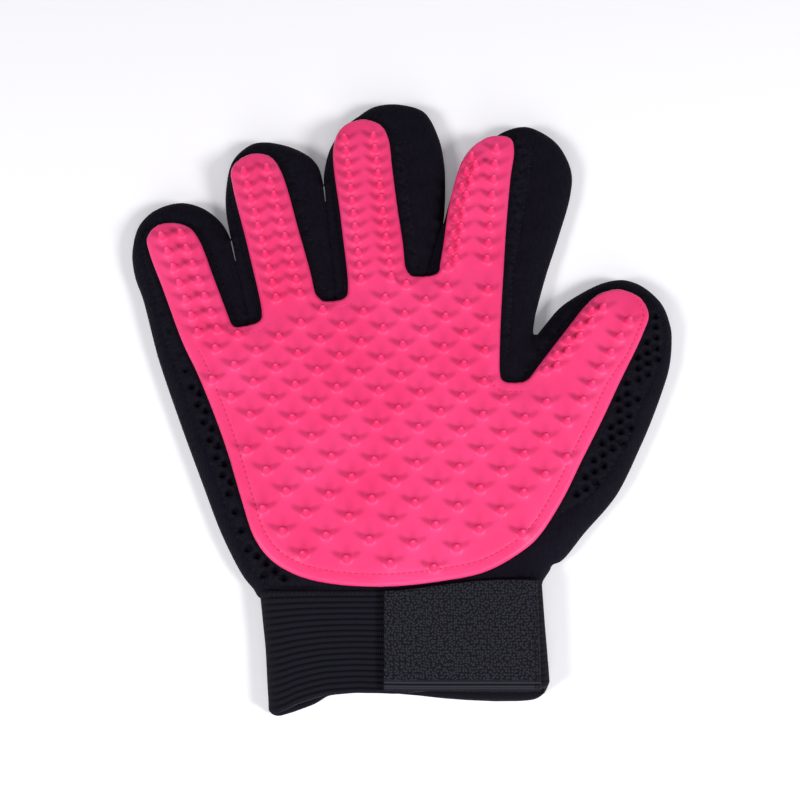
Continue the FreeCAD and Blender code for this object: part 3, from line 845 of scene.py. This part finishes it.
# The band is one strip: its upper and lower halves share their points along the widest line.
apart, twin = nearest(back_spots, front_spots)
joined = (apart < 0.01) & (nearest(back_spots, edge_line)[0] < 0.01) & (wrist_share(back_spots) < 0.01)
cloth_points[twin[joined], 2] = edge_height(back_spots[joined])
back_faces = np.where(joined, twin, np.arange(len(back_spots)) + len(front_points))[back_faces]
HAND_KNIT_NODES = ("side_wall_little", "side_wall_thumb", "side_wall_index", "web_little_ring",
                   "web_ring_middle", "web_middle_index")
for name in front_shares:
    uv = np.vstack([cloth_uv(front_spots, name), cloth_uv(back_spots, name)])
    parts = (
        ("front_mesh_", front_faces[front_shares[name] & front_is_mesh], air_mesh, "air_mesh",
         ("palm_panel",) if name == "hand" else ("front_panel_" + name,)),
        ("knit_side_", np.vstack([front_faces[front_shares[name] & ~front_is_mesh],
                                  back_faces[back_shares[name] & back_is_knit]]), knit, "knit",
         HAND_KNIT_NODES if name == "hand" else ("gusset_" + name,)),
        ("back_mesh_", back_faces[back_shares[name] & ~back_is_knit], air_mesh, "air_mesh",
         ("back_panel_" + name,)),
    )
    for title, faces, material, slot, replaced in parts:
        piece = make_piece(title + name, cloth_points, faces.tolist(), material, cloth_normals, uv)
        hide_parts(*replaced)
        ride_or_bend(piece, name)

# ---- Seam stitches between mesh and knit ----
# Black thread sews the front mesh to the knit band: short slanted stitches across the seam's groove,
# one every 2.6 mm. Where the pad covers the seam there are none.
SEAM_PITCH = 2.6
SEAM_STITCH_LONG = 1.4
SEAM_STITCH_R = 0.13

black_thread, place = black_cloth("black_thread", rough=0.7)
mottle(black_thread, place, (0.006, 0.006, 0.009), (0.02, 0.02, 0.028))
seam_spots = evenly(seam_line, SEAM_PITCH, closed=True)
seam_spots = seam_spots[~within(seam_spots, pad_line) & (nearest(seam_spots, pad_line)[0] > 0.8)
                        & (nearest(seam_spots, edge_fine)[0] > 1.5) & within(seam_spots, edge_line)]
seam_side = inward(seam_line)[nearest(seam_spots, seam_line)[1]]
seam_way = seam_side * 0.9 + np.column_stack([-seam_side[:, 1], seam_side[:, 0]]) * 0.43
seam_high = front_height(seam_spots, front_holes) + 0.1
seam_left = np.ones(len(seam_spots), bool)
for name in list(FINGERS) + ["hand"]:
    mine = seam_left.copy()
    if name != "hand":
        f = FINGERS[name]
        mine &= within(seam_spots, finger_bounds[name]) & (to_finger(f, seam_spots)[:, 1] > f["crease"])
    seam_left &= ~mine
    points, faces = stitch_bars(seam_spots[mine], seam_way[mine], seam_high[mine], SEAM_STITCH_LONG,
                                SEAM_STITCH_R)
    thread = make_piece("seam_stitches_" + name, points, faces, black_thread, uv=points[:, :2] / 10)
    ride_or_bend(thread, name)

# ---- Elastic cuff ----
# A 40 mm ribbed elastic band, folded round the wrist into a flat tube and sewn to the glove. Its two
# ends lie a little apart on the palm side, under the tape. Ribs run round the wrist; the mouth is
# stretched and a little ragged, longer at the little finger's side.
CUFF_TOP = -77.4      # at the little finger's side; the seam rises towards the thumb
CUFF_LOW = 0.3
CUFF_HIGH = 10.4
ELASTIC = 1.5
RIB_COUNT = 18
RIB_HIGH = 0.45
ROWS_PER_RIB = 6
SLIT = (36.0, 39.5)   # the gap between the elastic's two ends
CUFF_LEFT = ((-118.8, -43.9), (-109.5, -44.3), (-92.9, -45.9), (-77.4, -48.3))
CUFF_RIGHT = ((-118.8, 51.1), (-107.5, 50.7), (-92, 50.0), (-77.4, 49.5))
MOUTH_FRONT = ((-47, -118.8), (-40.7, -118.6), (-37.5, -117.3), (-34.1, -115.5), (-29, -113.8),
               (-24.6, -112.7), (-18, -112.1), (-13.2, -111.9), (-1.2, -112.4), (13.8, -110.6),
               (34.2, -110.0), (44, -110.4), (48, -110.0), (50.1, -109.0), (51, -107.4))
MOUTH_BACK = ((-47, -118.9), (-40.8, -118.8), (-36, -117.4), (-31.5, -115.8), (-28.5, -114.6),
              (-26.5, -113.3), (-24.6, -112.1), (-22.4, -111.6), (-15, -111.0), (-2.4, -111.1),
              (7, -111.9), (15, -112.8), (22.9, -113.4), (33, -113.8), (41, -113.7), (45.6, -113.3),
              (47.8, -112.6), (50, -111.2), (50.9, -109.0), (51.2, -107.4))


def thick_sheet(top, under):
    """A sheet from two grids of points, one for each face, with its four edges closed."""
    rows, columns = top.shape[:2]
    number = np.arange(rows * columns).reshape(rows, columns)
    below = number + rows * columns
    faces = []
    for a, flip in ((number, False), (below, True)):
        quads = np.stack([a[:-1, :-1], a[:-1, 1:], a[1:, 1:], a[1:, :-1]], -1).reshape(-1, 4)
        faces += (quads[:, ::-1] if flip else quads).tolist()
    for a, b in ((number[0, ::-1], below[0, ::-1]), (number[-1], below[-1]), (number[:, 0], below[:, 0]),
                 (number[::-1, -1], below[::-1, -1])):
        faces += np.stack([a[:-1], a[1:], b[1:], b[:-1]], -1).tolist()
    return np.vstack([top.reshape(-1, 3), under.reshape(-1, 3)]), faces


def cuff_rise(x):
    """How far above CUFF_TOP the elastic reaches, towards the thumb's side."""
    share = np.clip((x + 10) / 46, 0, 1)
    return 4.2 * share * share * (3 - 2 * share)


def cuff_ring(y, inset):
    """Points round the flat tube at height y along the wrist, from one side of the slit to the other."""
    left = np.interp(y, *np.array(CUFF_LEFT).T) + inset
    right = np.interp(y, *np.array(CUFF_RIGHT).T) - inset
    low, high = CUFF_LOW + inset, CUFF_HIGH - inset
    radius, middle = (high - low) / 2, (high + low) / 2
    turns = np.linspace(math.pi / 2, -math.pi / 2, 13)
    right_fold = [(right - radius + radius * math.cos(t), middle + radius * math.sin(t)) for t in turns]
    left_fold = [(left + radius - radius * math.cos(t), middle + radius * math.sin(t)) for t in turns[::-1]]
    front_right = [(x, high) for x in np.linspace(SLIT[1], right - radius, 6)[:-1]]
    back = [(x, low) for x in np.linspace(right - radius, left + radius, 60)[1:-1]]
    front_left = [(x, high) for x in np.linspace(left + radius, SLIT[0], 52)[1:]]
    return np.array(front_right + right_fold + back + left_fold + front_left)


def cuff_sheet(inset, ribbed):
    rows = RIB_COUNT * ROWS_PER_RIB + 1
    top_ring, mouth_ring = cuff_ring(CUFF_TOP, inset), cuff_ring(CUFF_LEFT[0][0], inset)
    grid = np.zeros((rows, len(top_ring), 3))
    middle = (CUFF_LOW + CUFF_HIGH) / 2
    for row in range(rows):
        share = row / (rows - 1)
        for column, (x, z) in enumerate(mouth_ring):
            front, back = (np.interp(x, *np.array(edge).T) for edge in (MOUTH_FRONT, MOUTH_BACK))
            lift = np.clip((z - CUFF_LOW) / (CUFF_HIGH - CUFF_LOW), 0, 1)
            top = CUFF_TOP + cuff_rise(top_ring[column, 0])
            corner = 1.8 * math.exp(-(x - CUFF_LEFT[0][1] - inset) / 0.8) * share ** 12
            grid[row, column, 1] = top + (lift * front + (1 - lift) * back - top) * share + corner
    for row in range(rows):
        share = row / (rows - 1)
        ring = cuff_ring(np.mean(grid[row, :, 1]), inset)
        x, z = ring[:, 0], ring[:, 1]
        wave = 0.3 * np.sin(0.11 * x + 2.0) * share + 0.16 * np.sin(0.35 * x + 4 * share)
        side = np.sign(z - middle) * np.minimum(1, np.abs(z - middle) / 3)
        ridge = (1 - abs(2 * ((row / ROWS_PER_RIB) % 1) - 1) ** 2.2) * RIB_HIGH if ribbed else 0.0
        out = np.stack([np.gradient(z), -np.gradient(x)], 1)
        out /= np.linalg.norm(out, axis=1)[:, None]
        mouth = np.clip((share - 0.55) / 0.45, 0, 1) ** 2 * np.exp(-((x - 46) / 9) ** 2)
        grid[row, :, 0] = x
        ridge = ridge * np.abs(out[:, 1]) ** 2
        grid[row, :, 2] = z + np.abs(out[:, 1]) * side * (ridge + wave * 0.5 + 0.5 * mouth)
    return grid


elastic, place = black_cloth("black_elastic")
# The elastic's colour is darker in each rib's valley and lighter on its crest: painted shade between the
# ribs.
rib_valley_shade = add_texture(elastic, "Wave", place, {"Scale": math.pi / 10, "Phase Offset": -math.pi / 2})
rib_valley_shade.bands_direction = "Y"
colour_by(elastic, rib_valley_shade.outputs["Fac"], 0.05, (0.0042, 0.004, 0.0075), 0.6, (0.0085, 0.0082, 0.014))
warp = add_texture(elastic, "Wave", place, {"Scale": 4.4, "Distortion": 1.2, "Detail": 2})
warp.bands_direction = "X"
emboss(elastic, warp.outputs["Fac"], 0.0003, 0.5)
outside = cuff_sheet(0.0, True)
inside = cuff_sheet(ELASTIC, False)
points, faces = thick_sheet(outside, inside)
girth = np.r_[0, np.cumsum(np.linalg.norm(np.diff(outside[0][:, (0, 2)], axis=0), axis=1))]
cuff_uv = np.stack([np.tile(girth / 10, len(outside)),
                    np.repeat(np.arange(len(outside)) / ROWS_PER_RIB, len(girth))], 1)
cuff = make_piece("cuff_elastic", points, faces, elastic, uv=np.vstack([cuff_uv, cuff_uv]))
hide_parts("cuff_band")
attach(cuff, "hand")

# ---- Overlock seam of the cuff ----
# Black thread joins the elastic to the glove: long slanted stitches side by side, one every 1.5 mm,
# which follow the elastic's edge up towards the thumb.
seam_x = np.arange(-44.5, 46.0, 1.5)
seam_y = CUFF_TOP - 1.2 + cuff_rise(seam_x)
points, faces = stitch_bars(np.column_stack([seam_x, seam_y]), np.tile((0.35, 0.94), (len(seam_x), 1)),
                            np.full(len(seam_x), CUFF_HIGH + 0.5), 1.8, 0.16)
overlock = make_piece("cuff_overlock", points, faces, black_thread, uv=points[:, :2] / 10)
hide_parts("cuff_seam_thread")
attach(overlock, "hand")

# ---- Loop pile patch ----
# A patch of soft black nylon loops lies on the elastic under the tape, where the hooks take hold.
# It is knitted, napped and sewn flat to the band.
PATCH_X = (-4, 34.5)
PATCH_Y = (-111.4, -79.6)
PATCH_LOW = 10.5
PILE_TOP = 11.1
PATCH_GRID = 0.5


def flat_grid(x_range, y_range, pitch, height):
    """A grid of points over a rectangle, with its height as a function of x and y."""
    x, y = np.meshgrid(np.arange(x_range[0], x_range[1] + pitch / 2, pitch),
                       np.arange(y_range[0], y_range[1] + pitch / 2, pitch))
    return np.stack([x, y, height(x, y)], -1)


def pile_top(x, y):
    tufts = np.sin(5.3 * x + 2.1 * np.sin(1.7 * y)) * np.sin(4.7 * y + 1.9 * np.sin(1.3 * x))
    return PILE_TOP + 0.12 * tufts + 0.08 * np.sin(9.1 * x - 3.3 * y)


loop_pile, place = black_cloth("black_loop_pile", rough=0.95, sheen=0.25)
mottle(loop_pile, place, (0.004, 0.004, 0.007), (0.012, 0.012, 0.018))
points, faces = thick_sheet(flat_grid(PATCH_X, PATCH_Y, PATCH_GRID, pile_top),
                            flat_grid(PATCH_X, PATCH_Y, PATCH_GRID, lambda x, y: PATCH_LOW + 0 * x))
pile = make_piece("loop_pile_patch", points, faces, loop_pile, uv=points[:, :2] / 10)
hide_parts("loop_patch")
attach(pile, "hand")

# ---- Bed of hooks ----
# Small black nylon hooks stand close together under the tape. They are woven into it, cut and heat
# set, and the bed of their tips is a field of little bumps that faces the loop pile.
HOOKS_Y = (-109.5, -81.6)
HOOKS_TOP = 12.12
HOOKS_LOW = 12.05
HOOK_HIGH = 0.5
HOOK_PITCH = 1.5


def hooks_under(x, y):
    rows = np.sin(2 * math.pi * x / HOOK_PITCH) * np.sin(2 * math.pi * y / HOOK_PITCH)
    return HOOKS_LOW - HOOK_HIGH * np.clip(rows, 0, 1)


hook_nylon, place = black_cloth("black_nylon_hooks", rough=0.4)
mottle(hook_nylon, place, (0.01, 0.01, 0.014), (0.03, 0.03, 0.04))
points, faces = thick_sheet(flat_grid(PATCH_X, HOOKS_Y, PATCH_GRID, lambda x, y: HOOKS_TOP + 0 * x),
                            flat_grid(PATCH_X, HOOKS_Y, PATCH_GRID, hooks_under))
hooks = make_piece("hook_bed", points, faces, hook_nylon, uv=points[:, :2] / 10)
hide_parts("hook_field")
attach(hooks, "tab")

# ---- Hook tape ----
# A dark grey woven tape closes the cuff. It is sewn down at the thumb's side and peels open from the
# other. Its face has fine light specks, painted glints of the hooks' shiny yarn, and a plain woven selvedge
# at the mouth.
TAB_X = (-5.3, 47.2)
TAB_Y = (-111.6, -78.3)
TAPE_TOP = 13.1
TAPE_THICK = 0.95
SELVEDGE = 3.2
SPECK_PITCH = 1.05
LINE_PITCH = 1.07             # of the selvedge's lines
TAPE_RISE_FROM = -100         # from here up, the tape's edge follows the elastic's
TAPE_GRID = 0.35


def tape_sag(x, y):
    """How far the tape stands off: its free end lifts a little, and it waves slightly."""
    return 0.9 * np.exp(-(x - TAB_X[0]) / 5.0) + 0.12 * np.sin(0.23 * x + 0.1 * y)


def tape_top(x, y):
    plain = y < TAB_Y[0] + SELVEDGE
    specks = 0.13 * np.sin(2 * math.pi * (x + y) / SPECK_PITCH) * np.sin(2 * math.pi * (x - y) / SPECK_PITCH)
    lines = 0.12 * np.sin(2 * math.pi * y / LINE_PITCH)
    edge = np.minimum(np.minimum(x - TAB_X[0], TAB_X[1] - x), np.minimum(y - TAB_Y[0], TAB_Y[1] - y))
    worn = 0.35 * np.exp(-np.maximum(edge, 0) / 0.3)
    return TAPE_TOP + np.where(plain, lines, specks) - worn + tape_sag(x, y)


def tape_under(x, y):
    return TAPE_TOP - TAPE_THICK + tape_sag(x, y)


tape, place = black_cloth("dark_grey_hook_tape", rough=0.7)
weave_and_glints = add_texture(tape, "Voronoi", place, {"Scale": 10.5, "Randomness": 0.75})
weave_and_glints.voronoi_dimensions = "2D"
# The light specks in this colour are painted glints of the shiny hook yarn; the same pattern also raises
# small real bumps.
colour_by(tape, weave_and_glints.outputs["Distance"], 0.08, (0.036, 0.036, 0.05), 0.45, (0.006, 0.0058, 0.0095))
emboss(tape, weave_and_glints.outputs["Distance"], 0.0002, 0.5)
points, faces = thick_sheet(flat_grid(TAB_X, TAB_Y, TAPE_GRID, tape_top),
                            flat_grid(TAB_X, TAB_Y, TAPE_GRID, tape_under))
up_tape = np.clip((points[:, 1] - TAPE_RISE_FROM) / (TAB_Y[1] - TAPE_RISE_FROM), 0, 1)
points[:, 1] += cuff_rise(points[:, 0]) * up_tape
tape_uv = points[:, :2] / 10
tape_uv[points[:, 1] < TAB_Y[0] + SELVEDGE, 0] = 0.05     # the selvedge is all lines
tab = make_piece("hook_tape", points, faces, tape, uv=tape_uv)
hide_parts("hook_tab", "tab_sewn_end")
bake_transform(tab)

# ---- Stitches of the tape's sewn end ----
# Two rows of black lockstitch hold the tape's end to the elastic, beside the line where it peels up.
# Each stitch is a short bar, half sunk in the tape.
TAB_ROWS = (45.4, 46.5)
TAB_STITCH_PITCH = 2.3
TAB_STITCH_LONG = 1.7
TAB_STITCH_R = 0.2

rows = np.array([(x, y) for x in TAB_ROWS for y in np.arange(TAB_Y[0] + 1.2, TAB_Y[1] - 1, TAB_STITCH_PITCH)])
points, faces = stitch_bars(rows, np.tile((0.0, 1.0), (len(rows), 1)), np.full(len(rows), TAPE_TOP + 0.08),
                            TAB_STITCH_LONG, TAB_STITCH_R)
tab_rows = make_piece("tab_stitches", points, faces, black_thread, uv=points[:, :2] / 10)
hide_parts("tab_thread")
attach(tab_rows, "hand")
